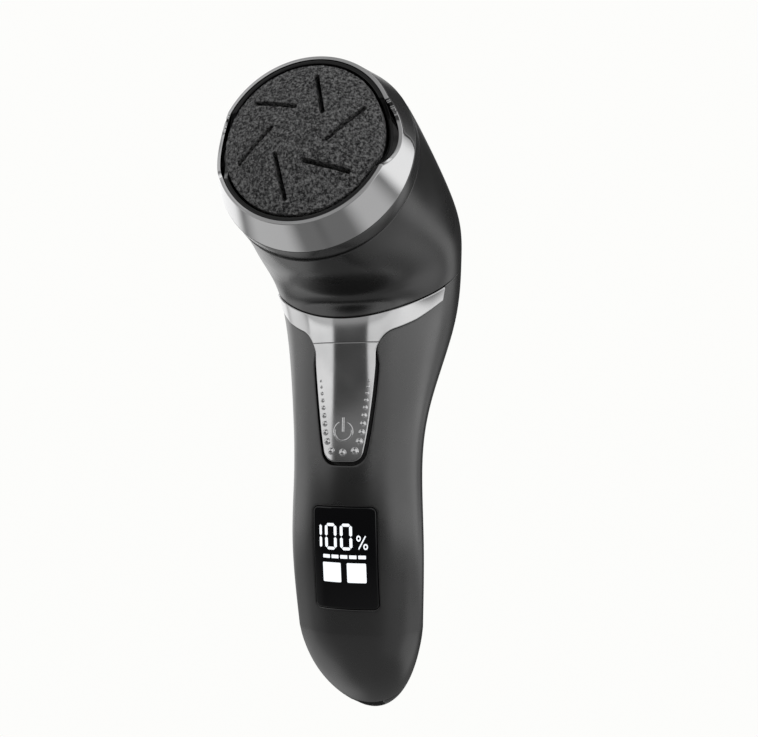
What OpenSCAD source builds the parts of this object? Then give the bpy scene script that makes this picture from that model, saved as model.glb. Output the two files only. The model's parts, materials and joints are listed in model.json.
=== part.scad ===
// Cordless rotary callus remover: an upright handle with a tilted round grinding head.
// Millimetres. +Z runs up the handle, the working face looks towards -Y, +X is the right-hand
// side seen from the front, and the origin lies under the handle at its lowest point.

/* [Body] */
// Wall thickness of the moulded shells
wall = 2; // [1.8:0.1:2.2]
// Half width of the grip
grip_half_w = 17.7; // [17.4:0.1:18]
// Half width of the bulbous head housing
head_half_w = 27.4; // [27:0.1:27.8]
// Tilt of the plane where the head meets the handle, in degrees
parting_tilt = 33; // [32:0.5:34]
// Shadow gap along the parting plane
parting_gap = 0.3; // [0.2:0.05:0.4]

/* [Head] */
// Upward tilt of the grinding axis, in degrees
head_tilt = 15; // [14.5:0.25:15.5]
// Radius of the head where the removable ring starts
ring_base_r = 24.3; // [24.2:0.05:24.4]
// Outer radius of the ring at its lip
ring_lip_r = 21.2; // [21:0.1:21.4]
// Height of the removable ring
ring_h = 8; // [7.8:0.1:8.2]
// Depth of the two side scallops in the ring
scallop_depth = 3.3; // [3:0.1:3.5]
// Half width of a side scallop at the lip
scallop_half_w = 8.5; // [8:0.1:9]

/* [Grinding pad] */
// Radius of the abrasive pad
pad_r = 18.8; // [18.4:0.1:19]
// Rise of the pad's domed face at its centre
pad_crown = 3; // [2:0.25:3.25]
// Number of dust slots
slot_count = 6; // [5:1:7]
// Width of a dust slot
slot_w = 1.3; // [1:0.1:1.6]

/* [Trim and button] */
// Width of the bright arms below the parting plane
arm_w = 4.3; // [4:0.1:4.6]
// Half width of the button at its top
button_top_half_w = 8.5; // [8.2:0.1:8.6]
// Half width of the button near its bottom
button_low_half_w = 5.5; // [5.2:0.1:5.7]
// Height of the button's bottom edge
button_bottom_z = 69.3; // [69:0.1:70]
// Height of the line where the button leaves the trim
button_top_z = 99.4; // [99:0.1:99.8]
// Clear gap around the button
button_gap = 0.9; // [0.8:0.05:1]
// Number of beads down each side of the button
bead_rows = 10; // [8:1:11]

/* [Display] */
// Width of the display window
window_w = 16.8; // [16:0.2:17.4]
// Height of the display window
window_h = 26; // [25:0.5:27]
// Height of the window's centre
window_z = 45; // [44.5:0.25:45.5]

/* [Drive] */
// Radius of the motor can
motor_r = 11; // [10.5:0.25:11]
// Radius of the motor shaft
shaft_r = 1.15; // [1:0.05:1.25]
// Radial running clearance of the shaft in its bushes
running_gap = 0.03; // [0.02:0.01:0.06]
// Number of fan blades
blade_count = 8; // [6:1:9]

/* [Battery] */
// Radius of the round cell
cell_r = 7; // [6.5:0.25:7]
// Length of the round cell
cell_h = 50; // [48:1:50]

/* [Hidden] */

$fn = 96;
far = 200;              // larger than the object in any direction
sliver = 0.05;          // assembly gap between two fixed pieces
around = 52;            // points around one body section
spans = 4;              // sections between two stations
cap_rings = 7;          // sections in the rounded bottom end
cap_power = 1.5;        // how full the bottom end is, larger is fuller
cap_round = 1.8;        // roundness of its tip, 2 is an ellipse
cap_lean = 1.8;         // how late the bottom end turns backwards
cap_shift = 12;         // how far the lowest point lies behind the grip's axis
ring_base_y = -32;      // centre of the ring's base
ring_base_z = 142;
parting_y = -11.2;      // front end of the parting plane
parting_z = 105.8;
seat_h = 4.2;           // height of the seat ring behind the removable ring
trim_proud = 0.3;       // how far the bright trim stands out of the body
trim_depth = 1.2;       // how far the bright trim is let into the body
switch_z = 77.3;        // height of the power switch and its icon
post_r = 1.2;           // switch post on the back of the button
well_t = 0.7;           // floor of the recess behind the button
board_front_y = -7.2;   // front face of the main board
board_t = 1.2;

// Body sections from the grip up to the ring: centre y, centre z, angle of the section plane
// (90 is level), half width, depth in front of the centre, depth behind it
STATIONS = [
    [0.9, 25, 90, grip_half_w - 1, 10.8, 14],
    [-1.4, 47, 90, grip_half_w, 11.2, 13.8],
    [-0.8, 66, 90, grip_half_w - 0.4, 12.1, 14.3],
    [3, 84, 90, grip_half_w + 1.2, 14.6, 16.3],
    [12.6, 105, 86, head_half_w - 4, 24, 19.2],
    [9.7, 120.5, 62, head_half_w - 1.3, 23, 22.5],
    [-1.2, 130.5, 40, head_half_w, 22.8, 21.9],
    [-18.8, 138.5, 21, head_half_w - 2.5, 25.2, 25.8],
    [ring_base_y, ring_base_z, head_tilt, ring_base_r, ring_base_r, ring_base_r]
];
last = len(STATIONS) - 1;

// ---------------------------------------------------------------- body surface

// Smooth curve through b and c
function curve(a, b, c, d, t) =
    0.5 * (2 * b + (c - a) * t + (2 * a - 5 * b + 4 * c - d) * t * t
        + (3 * b - a - 3 * c + d) * t * t * t);

// Body section at station number u, which may lie between two stations
function section(u) =
    let (
        i = min(floor(u), last - 1),
        b = STATIONS[i],
        c = STATIONS[i + 1],
        a = i > 0 ? STATIONS[i - 1] : 2 * b - c,
        d = i + 2 <= last ? STATIONS[i + 2] : 2 * c - b
    )
    curve(a, b, c, d, u - i);

// Points around a section, moved inwards by inset
function outline(s, inset) = [
    for (k = [0:around - 1])
    let (
        angle = 360 * k / around,
        depth = (sin(angle) < 0 ? s[4] : s[5]) - inset,
        reach = depth * sin(angle)
    )
    [(s[3] - inset) * cos(angle), s[0] + reach * sin(s[2]), s[1] + reach * cos(s[2])]
];

// Points around a section of the bottom end, where drop runs from 0 to 1 at the lowest point
function cap_outline(drop, inset) =
    let (
        s = STATIONS[0],
        shrink = pow(1 - pow(drop, cap_power), 1 / cap_round)
    )
    [
        for (k = [0:around - 1])
        let (
            angle = 360 * k / around,
            depth = (sin(angle) < 0 ? s[4] : s[5]) - inset
        )
        [
            (s[3] - inset) * shrink * cos(angle),
            s[0] + cap_shift * pow(drop, cap_lean) + depth * shrink * sin(angle),
            s[1] - (s[1] - inset) * drop
        ]
    ];

// Solid inside the body surface, moved inwards by inset, from station number u0 to u1
module body_solid(inset, u1 = last, beyond = 0) {
    rings = concat(
        [for (k = [cap_rings:-1:1]) cap_outline(sin(88 * k / cap_rings), inset)],
        [for (k = [0:u1 * spans]) outline(section(k / spans), inset)],
        beyond > 0 ? [outline(section(u1) + beyond * [-cos(head_tilt), sin(head_tilt), 0, 0, 0, 0],
            inset)] : []
    );
    count = len(rings);
    tip = [0, STATIONS[0][0] + cap_shift, inset];
    end = (rings[count - 1][0] + rings[count - 1][around / 2]) / 2;
    points = concat([for (ring = rings) each ring], [tip, end]);
    tip_index = count * around;
    faces = concat(
        [
            for (r = [0:count - 2], k = [0:around - 1])
            let (a = r * around + k, b = r * around + (k + 1) % around)
            each [[a, a + around, b + around], [a, b + around, b]]
        ],
        [for (k = [0:around - 1]) [tip_index, k, (k + 1) % around]],
        [
            for (k = [0:around - 1])
            [tip_index + 1, (count - 1) * around + (k + 1) % around, (count - 1) * around + k]
        ]
    );
    polyhedron(points, faces);
}

// Layer of the body between two depths below its surface
module body_layer(outer, inner, beyond = 1) {
    difference() {
        body_solid(outer, beyond = beyond);
        body_solid(inner, beyond = beyond + 4);
    }
}

// Keeps a shell that is cut out of body layers as one closed mesh
module one_mesh() {
    resize([0, 0, 0]) children();
}

// ---------------------------------------------------------------- frames

// Local frame of the head: +Z along the grinding axis out of the face, origin in the ring's base
module on_head() {
    translate([0, ring_base_y, ring_base_z]) rotate([90 - head_tilt, 0, 0]) children();
}

// Local frame of the parting plane: +Z out of the plane into the head, +Y rising to the back
module on_parting() {
    translate([0, parting_y, parting_z]) rotate([parting_tilt, 0, 0]) children();
}

module above_parting(gap) {
    on_parting() translate([-far / 2, -far / 2, gap]) cube(far);
}

module below_parting(gap) {
    on_parting() translate([-far / 2, -far / 2, -far - gap]) cube(far);
}

// Everything behind the line where the two handle shells meet
module behind_seam(gap) {
    seam = concat(
        [[6.2, -10], [6.2, 8]],
        [for (u = [0:0.5:4]) [section(u)[0] + 4.5, section(u)[1]]],
        [[19.5, 116], [20, 150]]
    );
    rotate([90, 0, 90])
        linear_extrude(far, center = true)
            polygon(concat([for (p = seam) p + [gap, 0]], [[far, 150], [far, -10]]));
}

// Flat outline drawn on the front view, pushed through the object from front to back
module through_front(back = 12) {
    rotate([90, 0, 0]) translate([0, 0, -back]) linear_extrude(60) children();
}

// ---------------------------------------------------------------- trim and button outlines

module button_outline(grow = 0) {
    corner = 3.2;
    hull() {
        for (side = [-1, 1]) {
            translate([side * (button_low_half_w - corner), button_bottom_z + corner])
                circle(corner + grow, $fn = 40);
            translate([side * (button_low_half_w + 0.3 - corner / 2), button_bottom_z + 4.8])
                circle(corner / 2 + grow, $fn = 32);
            translate([side * (button_top_half_w - 0.1), button_top_z + 2])
                circle(0.1 + grow, $fn = 32);
        }
    }
}

// Root of the trim: the button's upper end flaring into the two arms
module trim_root_outline() {
    flare = 4;
    offset(r = -flare, $fn = 40) offset(r = flare, $fn = 40) union() {
        button_outline();
        polygon([[-14, 103.4], [0, 100.4], [14, 103.4], [14, 118], [-14, 118]]);
    }
}

// Region of the trim, before it is cut to a thin layer
module trim_region(grow = 0) {
    arm_end_y = 2.4;
    difference() {
        union() {
            through_front(20) offset(delta = grow) trim_root_outline();
            difference() {
                on_parting() translate([-far / 2, -20, -arm_w - grow]) cube([far, far, arm_w + 10]);
                translate([-far / 2, arm_end_y + grow, 0]) cube(far);
            }
        }
        above_parting(grow > 0 ? far : -parting_gap / 2);
    }
}

module button_region(grow = 0) {
    intersection() {
        through_front(0) button_outline(grow);
        translate([-far / 2, -far / 2, 0]) cube([far, far, button_top_z - 0.12 + grow]);
    }
}

// ---------------------------------------------------------------- casings

module exhaust_slots() {
    for (k = [0:4])
        hull() for (side = [-1, 1])
            translate([side * (8 - 0.6 * k), 15, 93 + 4 * k])
                rotate([-90, 0, 0]) cylinder(h = 40, r = 0.9, $fn = 16);
}

module port_opening() {
    hull() for (side = [-1, 1])
        translate([side * 3.1, 8.6, -1]) cylinder(h = 12, r = 1.8, $fn = 24);
}

// Places that hold the two screws joining the handle shells, hidden under the trim's arms
module case_screw_spots() {
    for (side = [-1, 1]) translate([side * 12.5, 0, 105.2]) rotate([-90, 0, 0]) children();
}

// Places along the parting plane that hold the screws between the handle and the head
module head_screw_spots() {
    on_parting() for (side = [-1, 1]) translate([side * 20.8, 20, 0]) children();
}

// Floor of the recess behind the button, with a hole for the button's switch post
module button_well() {
    difference() {
        intersection() {
            button_region(button_gap + 1);
            body_layer(wall - sliver, wall + well_t);
        }
        translate([0, 0, switch_z]) rotate([90, 0, 0]) cylinder(h = far, r = post_r + 0.4, $fn = 32);
    }
}

module front_shell() {
    color([0.13, 0.13, 0.13]) one_mesh() difference() {
        union() {
            difference() {
                intersection() {
                    body_layer(0, wall);
                    below_parting(parting_gap / 2);
                }
                behind_seam(-sliver);
            }
            button_well();
            intersection() {
                body_solid(0.4);
                union() {
                    case_screw_spots() translate([0, 0, -9]) cylinder(h = 40, r = 3, $fn = 32);
                    board_screw_spots() translate([0, 0, -10])
                        cylinder(h = 10 - board_t - sliver, r = 2.2, $fn = 32);
                    head_screw_spots() translate([0, 0, -8]) cylinder(h = 8, r = 3.2, $fn = 32);
                }
                below_parting(parting_gap / 2);
            }
        }
        intersection() {
            trim_region(0.1);
            body_layer(-2, trim_depth + 0.1);
        }
        difference() {
            button_region(button_gap);
            body_solid(wall + sliver);
        }
        through_front(0) window_outline(0.1);
        case_screw_spots() translate([0, 0, -20]) cylinder(h = 40, r = 1.1, $fn = 24);
        case_screw_spots() translate([0, 0, -20]) cylinder(h = 24, r = 2.1, $fn = 24);
        board_screw_spots() translate([0, 0, -5]) cylinder(h = 5, r = 0.98, $fn = 24);
        head_screw_spots() translate([0, 0, -20]) cylinder(h = 30, r = 1.1, $fn = 24);
        head_screw_spots() translate([0, 0, -11]) cylinder(h = 3, r = 2.1, $fn = 24);
        behind_seam(-sliver);
    }
}

module rear_shell() {
    color([0.13, 0.13, 0.13]) one_mesh() difference() {
        union() {
            intersection() {
                body_layer(0, wall);
                below_parting(parting_gap / 2);
                behind_seam(sliver);
            }
            intersection() {
                body_solid(0.4);
                case_screw_spots() cylinder(h = 40, r = 3, $fn = 32);
                below_parting(1);
                behind_seam(sliver);
            }
        }
        case_screw_spots() cylinder(h = 24, r = 0.98, $fn = 24);
        exhaust_slots();
        port_opening();
    }
}

module head_shell() {
    color([0.12, 0.12, 0.12]) one_mesh() difference() {
        union() {
            intersection() {
                body_layer(0, wall);
                above_parting(parting_gap / 2);
            }
            intersection() {
                body_solid(0.4);
                above_parting(parting_gap / 2);
                head_screw_spots() cylinder(h = 9, r = 3.2, $fn = 32);
            }
        }
        head_screw_spots() translate([0, 0, -1]) cylinder(h = 8, r = 0.98, $fn = 24);
        on_head() translate([0, 0, -seat_h - sliver]) cylinder(h = 20, r = 30);
        on_head() translate([0, 0, -18.6]) cylinder(h = 20, r = 22.3);
    }
}

// ---------------------------------------------------------------- removable ring

// Cuts the two shallow scallops into the sides of the ring, larger by grow
module side_scallops(grow = 0) {
    scallop_r = (scallop_half_w * scallop_half_w + scallop_depth * scallop_depth)
        / (2 * scallop_depth);
    translate([0, 0, ring_h - scallop_depth + scallop_r])
        rotate([0, 90, 0]) cylinder(h = 80, r = scallop_r + grow, center = true);
}

// Conical band between two heights with a given wall, rounded at the lip
module ring_band(low, high, thick) {
    slope = (ring_base_r - ring_lip_r) / ring_h;
    rotate_extrude() polygon([
        [ring_base_r - slope * low - thick, low],
        [ring_base_r - slope * low, low],
        [ring_base_r - slope * high, high],
        [ring_base_r - slope * high - thick, high]
    ]);
}

ring_skin = 0.8;        // wall of the bright band and the hood
rim_w = 0.45;           // height of the bright rim that runs all the way round the lip
hood_low_edge = 1.2;    // how far above the ring's centre line the hood begins

module ring_seat() {
    color([0.16, 0.16, 0.16]) on_head() difference() {
        union() {
            translate([0, 0, -seat_h]) cylinder(h = seat_h - sliver, r = ring_base_r - 0.05);
            translate([0, 0, -12]) cylinder(h = 12 - sliver, r = 22.2);
        }
        translate([0, 0, -13]) cylinder(h = 20, r = 21.4);
    }
}

module ring_liner() {
    bore_r = pad_r + 0.55;
    slope = (ring_base_r - ring_lip_r) / ring_h;
    skin = ring_skin + sliver;
    color([0.05, 0.05, 0.05]) on_head() difference() {
        rotate_extrude() polygon([
            [bore_r + 0.35, -4],
            [21.3, -4],
            [21.3, -2.6],
            [20.7, -2.6],
            [20.7, -1.8],
            [21.3, -1.8],
            [21.3, 0],
            [ring_base_r - skin, 0],
            [ring_base_r - slope * ring_h - skin, ring_h - 0.1],
            [bore_r, ring_h - 0.1],
            [bore_r, 6],
            [bore_r + 0.35, 4]
        ]);
        side_scallops();
    }
}

module ring_seal() {
    color([0.02, 0.02, 0.02]) on_head() translate([0, 0, -2.2])
        rotate_extrude() translate([21.07, 0]) circle(0.3, $fn = 24);
}

module ring_hood() {
    color([0.15, 0.15, 0.15]) on_head() difference() {
        ring_band(0, ring_h - rim_w - sliver, ring_skin);
        translate([-40, hood_low_edge + sliver - 80, -1]) cube([80, 80, 20]);
        side_scallops(rim_w + sliver);
    }
}

module chrome_ring() {
    color([0.78, 0.78, 0.78]) on_head() difference() {
        ring_band(0, ring_h, ring_skin);
        difference() {
            translate([-40, hood_low_edge, -1]) cube([80, 80, ring_h - rim_w + 1]);
            side_scallops(rim_w);
        }
        side_scallops();
    }
}

// ---------------------------------------------------------------- trim and button

module trim_collar() {
    color([0.75, 0.75, 0.75]) one_mesh() difference() {
        intersection() {
            trim_region();
            body_layer(-trim_proud, trim_depth);
        }
        translate([-far / 2, -far / 2, button_top_z - far])
            intersection() {
                cube([far, far, far]);
                translate([far / 2 - 9, 0, 0]) cube([18, far, far]);
            }
    }
}

// Long hollow down the middle of the button's face
module button_dish() {
    dish_r = 14;
    translate([0, -12.1 - dish_r + 0.85, 85]) rotate([1.6, 0, 0])
        cylinder(h = 60, r = dish_r, center = true);
}

module power_button() {
    color([0.6, 0.6, 0.6]) one_mesh() union() {
        difference() {
            intersection() {
                button_region();
                body_layer(-trim_proud, trim_depth);
            }
            button_dish();
        }
        translate([0, board_front_y - 2.42, switch_z]) rotate([90, 0, 0])
            cylinder(h = 2.1, r = post_r, $fn = 24);
    }
}

// Bead places run down both sides of the button, closer to the edge than the dish
module bead_spots() {
    top_z = 89.7;
    for (k = [0:bead_rows - 1], side = [-1, 1]) {
        turn = max(0, k - (bead_rows - 3));
        drop = 1.5 * k + 0.052 * k * k;
        x = 6.35 - 0.12 * drop - 0.28 * turn * turn;
        translate([side * x, -10.35 - 0.118 * drop, top_z - drop])
            sphere(0.37 + 0.065 * k, $fn = 20);
    }
    translate([0, -12.4, 71.6]) sphere(0.95, $fn = 20);
}

module button_beads() {
    color([0.9, 0.9, 0.9]) bead_spots();
}

module power_icon() {
    face_y = -11.62;
    color([0.72, 0.72, 0.72]) translate([0, face_y, switch_z]) rotate([90, 0, 0]) {
        difference() {
            cylinder(h = 0.35, r = 2.65);
            translate([0, 0, -1]) cylinder(h = 3, r = 2.2);
            translate([-0.9, 0, -1]) cube([1.8, 4, 3]);
        }
        translate([-0.25, 0, 0]) cube([0.5, 3.4, 0.35]);
    }
}

// ---------------------------------------------------------------- display

module window_outline(grow = 0) {
    corner = 1.6;
    translate([0, window_z]) hull() for (sx = [-1, 1], sz = [-1, 1])
        translate([sx * (window_w / 2 - corner), sz * (window_h / 2 - corner)])
            circle(corner + grow, $fn = 24);
}

// Lit figure "0" or "1" made of seven-segment bars, lower left corner at the origin
module seven_segment(bars, w, h, bar) {
    long = (h - 3 * bar) / 2 - 0.12;
    if (search("a", bars)) translate([bar, h - bar]) square([w - 2 * bar, bar * 0.85]);
    if (search("b", bars)) translate([w - bar, h / 2 + bar / 2]) square([bar * 0.85, long]);
    if (search("c", bars)) translate([w - bar, bar]) square([bar * 0.85, long]);
    if (search("d", bars)) translate([bar, 0]) square([w - 2 * bar, bar * 0.85]);
    if (search("e", bars)) translate([0, bar]) square([bar * 0.85, long]);
    if (search("f", bars)) translate([0, h / 2 + bar / 2]) square([bar * 0.85, long]);
}

module percent_sign() {
    dot_r = 0.5;
    translate([4, 50.4]) circle(dot_r, $fn = 20);
    translate([5.5, 47.7]) circle(dot_r, $fn = 20);
    translate([4.75, 49.05]) rotate(-28) square([0.35, 3.6], center = true);
}

module segment_outline() {
    digit_w = 3.3;
    digit_h = 6.8;
    translate([-8.3, 47.1]) seven_segment("bc", digit_w, digit_h, 0.75);
    translate([-4.3, 47.1]) seven_segment("abcdef", digit_w, digit_h, 0.75);
    translate([-0.3, 47.1]) seven_segment("abcdef", digit_w, digit_h, 0.75);
    percent_sign();
    for (x = [-5.8, 0.7]) translate([x, 38.9]) square([4.9, 5]);
    for (k = [0:4]) translate([-5.6 + 2.35 * k, 45]) square([1.9, 0.9]);
}

module display_window() {
    color([0.02, 0.02, 0.03]) one_mesh() difference() {
        intersection() {
            through_front(0) window_outline();
            body_layer(-0.1, 1.2);
        }
        intersection() {
            through_front(0) segment_outline();
            body_layer(-1, 0.3);
        }
    }
}

module display_segments() {
    color([0.9, 0.95, 1]) one_mesh() intersection() {
        through_front(0) segment_outline();
        body_layer(-0.12, 0.27);
    }
}

module led_module() {
    color([0.85, 0.85, 0.85]) translate([-7, board_front_y - 1.7, window_z - 11])
        cube([14, 1.65, 22]);
}

// ---------------------------------------------------------------- electronics

// Screws that hold the board to the front shell, with +Z pointing towards the battery
module board_screw_spots() {
    for (side = [-1, 1])
        translate([side * 5.5, board_front_y + board_t, 63]) rotate([-90, 0, 0]) children();
}

module main_board() {
    low = 33.5;
    high = 92.5;
    color([0.05, 0.3, 0.15]) difference() {
        translate([-8.5, board_front_y, low]) cube([17, board_t, high - low]);
        board_screw_spots() translate([0, 0, -3]) cylinder(h = 6, r = 1.1, $fn = 24);
        for (side = [-1, 1])
            translate([side * 10.2 - 3, board_front_y - 1, 79]) cube([6, 5, 20]);
    }
}

module board_chips() {
    back = board_front_y + board_t + 0.02;
    color([0.08, 0.08, 0.08]) {
        translate([-4, back, 71]) cube([8, 1, 6]);
        translate([-6.5, back, 80]) cube([3, 0.9, 3]);
        translate([2.5, back, 80]) cube([4, 0.9, 2]);
    }
}

module board_screws() {
    color([0.75, 0.75, 0.75]) board_screw_spots() translate([0, 0, 0.02])
        screw(0.95, 1.9, 1, 4.2);
}

module switch_body() {
    front = board_front_y - 1.7;
    color([0.1, 0.1, 0.1]) difference() {
        translate([-2.25, front, switch_z - 2.25]) cube([4.5, 1.68, 4.5]);
        translate([0, front + 1.2, switch_z]) rotate([90, 0, 0]) cylinder(h = 3, r = 1.05, $fn = 32);
    }
}

module switch_plunger() {
    color([0.7, 0.7, 0.7]) translate([0, board_front_y - 1, switch_z]) rotate([90, 0, 0])
        cylinder(h = 1.4, r = 1, $fn = 32);
}

cell_y = 3;
cell_z = 16.5;

module battery_cell() {
    color([0.2, 0.35, 0.6]) translate([0, cell_y, cell_z]) {
        cylinder(h = cell_h - 1, r = cell_r);
        cylinder(h = cell_h, r = 2.6, $fn = 48);
    }
}

// Open tray that grips the cell from the front
module battery_cradle() {
    color([0.2, 0.2, 0.2]) translate([0, cell_y, cell_z + 3]) difference() {
        cylinder(h = cell_h - 8, r = cell_r + 0.95);
        translate([0, 0, -1]) cylinder(h = cell_h, r = cell_r + 0.05);
        translate([-20, 3, -1]) cube([40, 20, cell_h]);
        translate([-4, -20, 8]) cube([8, 20, cell_h - 24]);
    }
}

module battery_tabs() {
    color([0.8, 0.8, 0.75]) {
        translate([-2, cell_y - 5, cell_z - 0.2]) cube([4, 8, 0.15]);
        translate([-2, cell_y - 5, cell_z + cell_h + sliver]) cube([4, 8, 0.15]);
    }
}

// Round wire through a list of points
module wire(path, r) {
    for (k = [0:len(path) - 2]) hull() for (p = [path[k], path[k + 1]])
        translate(p) sphere(r, $fn = 8);
}

module battery_leads() {
    color([0.7, 0.1, 0.1]) one_mesh() {
        wire([[0, -2.4, 67.2], [0, -3.3, 69.5], [0, -4.6, 71 - 1.2]], 0.45);
        wire([[-1, -1.4, 15.6], [-5, -1.5, 15.2], [-10.2, -2.2, 22], [-10.2, -2.2, 38],
            [-7, -5.4, 44]], 0.45);
    }
}

module charge_port() {
    color([0.7, 0.7, 0.72]) difference() {
        hull() for (side = [-1, 1])
            translate([side * 2.9, 8.6, 3.4]) cylinder(h = 7.2, r = 1.6, $fn = 24);
        hull() for (side = [-1, 1])
            translate([side * 2.9, 8.6, 3]) cylinder(h = 6.6, r = 1.3, $fn = 24);
        }
    color([0.1, 0.1, 0.1]) translate([-3.3, 8.25, 4.2]) cube([6.6, 0.7, 6]);
}

module charge_board() {
    color([0.05, 0.3, 0.15]) translate([-4, 10.25, 6.8]) cube([8, 1, 8.4]);
}

module charge_leads() {
    color([0.1, 0.1, 0.1]) one_mesh() for (side = [-1, 1])
        wire([[side * 3, 9.7, 13], [side * 8.2, 8, 17], [side * 11.6, 2, 25], [side * 11.6, -2.8, 36],
            [side * 7.6, -5.45, 41]], 0.4);
}

// ---------------------------------------------------------------- screws

// Pan-head screw pointing along -Z with the underside of its head at the origin
module screw(shank_r, head_r, head_h, length) {
    difference() {
        cylinder(h = head_h, r = head_r, $fn = 32);
        for (turn = [0, 90])
            rotate(turn) translate([-head_r * 0.6, -0.25, head_h - 0.45]) cube([head_r * 1.2, 0.5, 1]);
    }
    translate([0, 0, -length]) cylinder(h = length + sliver, r = shank_r, $fn = 24);
}

module case_screws() {
    color([0.7, 0.7, 0.7]) case_screw_spots() translate([0, 0, 3.98]) rotate([180, 0, 0])
        screw(0.95, 1.9, 1.2, 17);
}

module head_screws() {
    color([0.7, 0.7, 0.7]) head_screw_spots() translate([0, 0, -8.02]) rotate([180, 0, 0])
        screw(0.95, 1.9, 1.2, 14);
}

// ---------------------------------------------------------------- motor and fan

motor_front = -18.6;
motor_back = -42;

module motor_screw_spots() {
    for (side = [-1, 1]) translate([side * 6, 0, -16.4]) children();
}

module motor_mount() {
    color([0.2, 0.2, 0.2]) on_head() difference() {
        translate([0, 0, -18.5]) cylinder(h = 6.4, r = 22.2);
        translate([0, 0, -16.5]) cylinder(h = 6, r = 20.6);
        translate([0, 0, -20]) cylinder(h = 6, r = 3.2, $fn = 48);
        for (turn = [0:60:300])
            rotate(turn + 30) translate([15, 0, -20]) cylinder(h = 6, r = 3, $fn = 32);
        motor_screw_spots() translate([0, 0, -4]) cylinder(h = 6, r = 1.2, $fn = 24);
    }
}

module motor_screws() {
    color([0.7, 0.7, 0.7]) on_head() motor_screw_spots() screw(0.95, 1.9, 1.1, 3.2);
}

module motor_can() {
    color([0.72, 0.72, 0.72]) on_head() difference() {
        union() {
            translate([0, 0, motor_back]) cylinder(h = motor_front - motor_back, r = motor_r);
            translate([0, 0, motor_front - sliver]) cylinder(h = 1.6, r = 3.1, $fn = 48);
        }
        translate([0, 0, motor_back - 1]) cylinder(h = motor_front - motor_back, r = motor_r - 0.9);
        translate([0, 0, motor_front - 3]) cylinder(h = 6, r = 2.3, $fn = 48);
        motor_screw_spots() translate([0, 0, -6]) cylinder(h = 6, r = 1, $fn = 24);
    }
}

module motor_magnets() {
    outer = motor_r - 0.95;
    color([0.15, 0.15, 0.16]) on_head() difference() {
        translate([0, 0, -40]) cylinder(h = 19, r = outer);
        translate([0, 0, -41]) cylinder(h = 21, r = outer - 1.8);
        cube([5, 40, 100], center = true);
    }
}

module motor_bushes() {
    color([0.7, 0.55, 0.3]) on_head() for (low = [motor_front - 0.95, motor_back - 2.6])
        difference() {
            translate([0, 0, low]) cylinder(h = 2.5, r = 2.25, $fn = 48);
            translate([0, 0, low - 1]) cylinder(h = 6, r = shaft_r + running_gap, $fn = 48);
        }
}

module motor_end_cap() {
    color([0.9, 0.9, 0.88]) on_head() difference() {
        translate([0, 0, motor_back - 3]) cylinder(h = 3 - sliver, r = motor_r - 0.1);
        translate([0, 0, motor_back - 2.65]) cylinder(h = 6, r = 2.3, $fn = 48);
        for (side = [-1, 1])
            translate([side * 7 - 1.05, -0.35, motor_back - 4]) cube([2.1, 0.7, 6]);
    }
}

module motor_terminals() {
    color([0.8, 0.65, 0.3]) on_head() for (side = [-1, 1])
        translate([side * 7 - 1, -0.3, motor_back - 5.5]) cube([2, 0.6, 5.4]);
}

module motor_leads() {
    color([0.7, 0.1, 0.1]) one_mesh() for (side = [-1, 1])
        wire([[side * 7, 15.5, 130.2], [side * 8, 13, 118], [side * 6, 6, 104], [side * 4, -2, 95],
            [side * 4, -5.45, 90]], 0.5);
}

module motor_armature() {
    color([0.7, 0.4, 0.2]) on_head() difference() {
        union() {
            translate([0, 0, -38]) cylinder(h = 15, r = 7.6);
            translate([0, 0, -41.4]) cylinder(h = 3.5, r = 2.6, $fn = 48);
        }
        translate([0, 0, -45]) cylinder(h = 30, r = shaft_r, $fn = 48);
        for (turn = [0, 120, 240])
            rotate(turn) translate([7.9, 0, -30]) cube([5, 2, 20], center = true);
    }
}

module motor_shaft() {
    color([0.85, 0.85, 0.85]) on_head() translate([0, 0, motor_back - 2.5])
        cylinder(h = 46.3, r = shaft_r, $fn = 48);
}

module impeller() {
    color([0.25, 0.25, 0.27]) on_head() difference() {
        union() {
            translate([0, 0, -14.5]) cylinder(h = 1, r = 18.5);
            translate([0, 0, -14.5]) cylinder(h = 5, r = 3.6, $fn = 48);
            for (k = [0:blade_count - 1])
                rotate(k * 360 / blade_count) translate([3, -0.5, -14]) cube([15, 1, 3.6]);
        }
        translate([0, 0, -15]) cylinder(h = 8, r = shaft_r, $fn = 48);
    }
}

module fan_shroud() {
    color([0.2, 0.2, 0.2]) on_head() difference() {
        translate([0, 0, -9]) cylinder(h = 1, r = 21.3);
        translate([0, 0, -10]) cylinder(h = 3, r = 8);
    }
}

module dust_filter() {
    color([0.35, 0.35, 0.35]) on_head() difference() {
        translate([0, 0, -7.9]) cylinder(h = 2.4, r = 21.2);
        translate([0, 0, -9]) cylinder(h = 5, r = 5.2, $fn = 48);
    }
}

// ---------------------------------------------------------------- drive hub and pad

magnet_spots_r = 9.5;

module drive_hub() {
    color([0.12, 0.12, 0.12]) on_head() difference() {
        union() {
            translate([0, 0, -4.5]) cylinder(h = 7.5, r = 4, $fn = 48);
            translate([0, 0, 1.2]) cylinder(h = 1.9, r = 17);
        }
        translate([0, 0, -5]) cylinder(h = 6.8, r = shaft_r, $fn = 48);
        translate([0, 0, 1.9]) cylinder(h = 4, r = 2.6, $fn = 48);
        for (turn = [0:120:240])
            rotate(turn) translate([magnet_spots_r, 0, 1.9]) cylinder(h = 4, r = 3.05, $fn = 48);
        for (turn = [0:120:240])
            rotate(turn + 60) translate([magnet_spots_r, 0, 0]) cylinder(h = 4, r = 3.6, $fn = 48);
    }
}

module hub_magnets() {
    color([0.8, 0.8, 0.82]) on_head() for (turn = [0:120:240])
        rotate(turn) translate([magnet_spots_r, 0, 1.92]) cylinder(h = 1.15, r = 3, $fn = 48);
}

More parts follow.
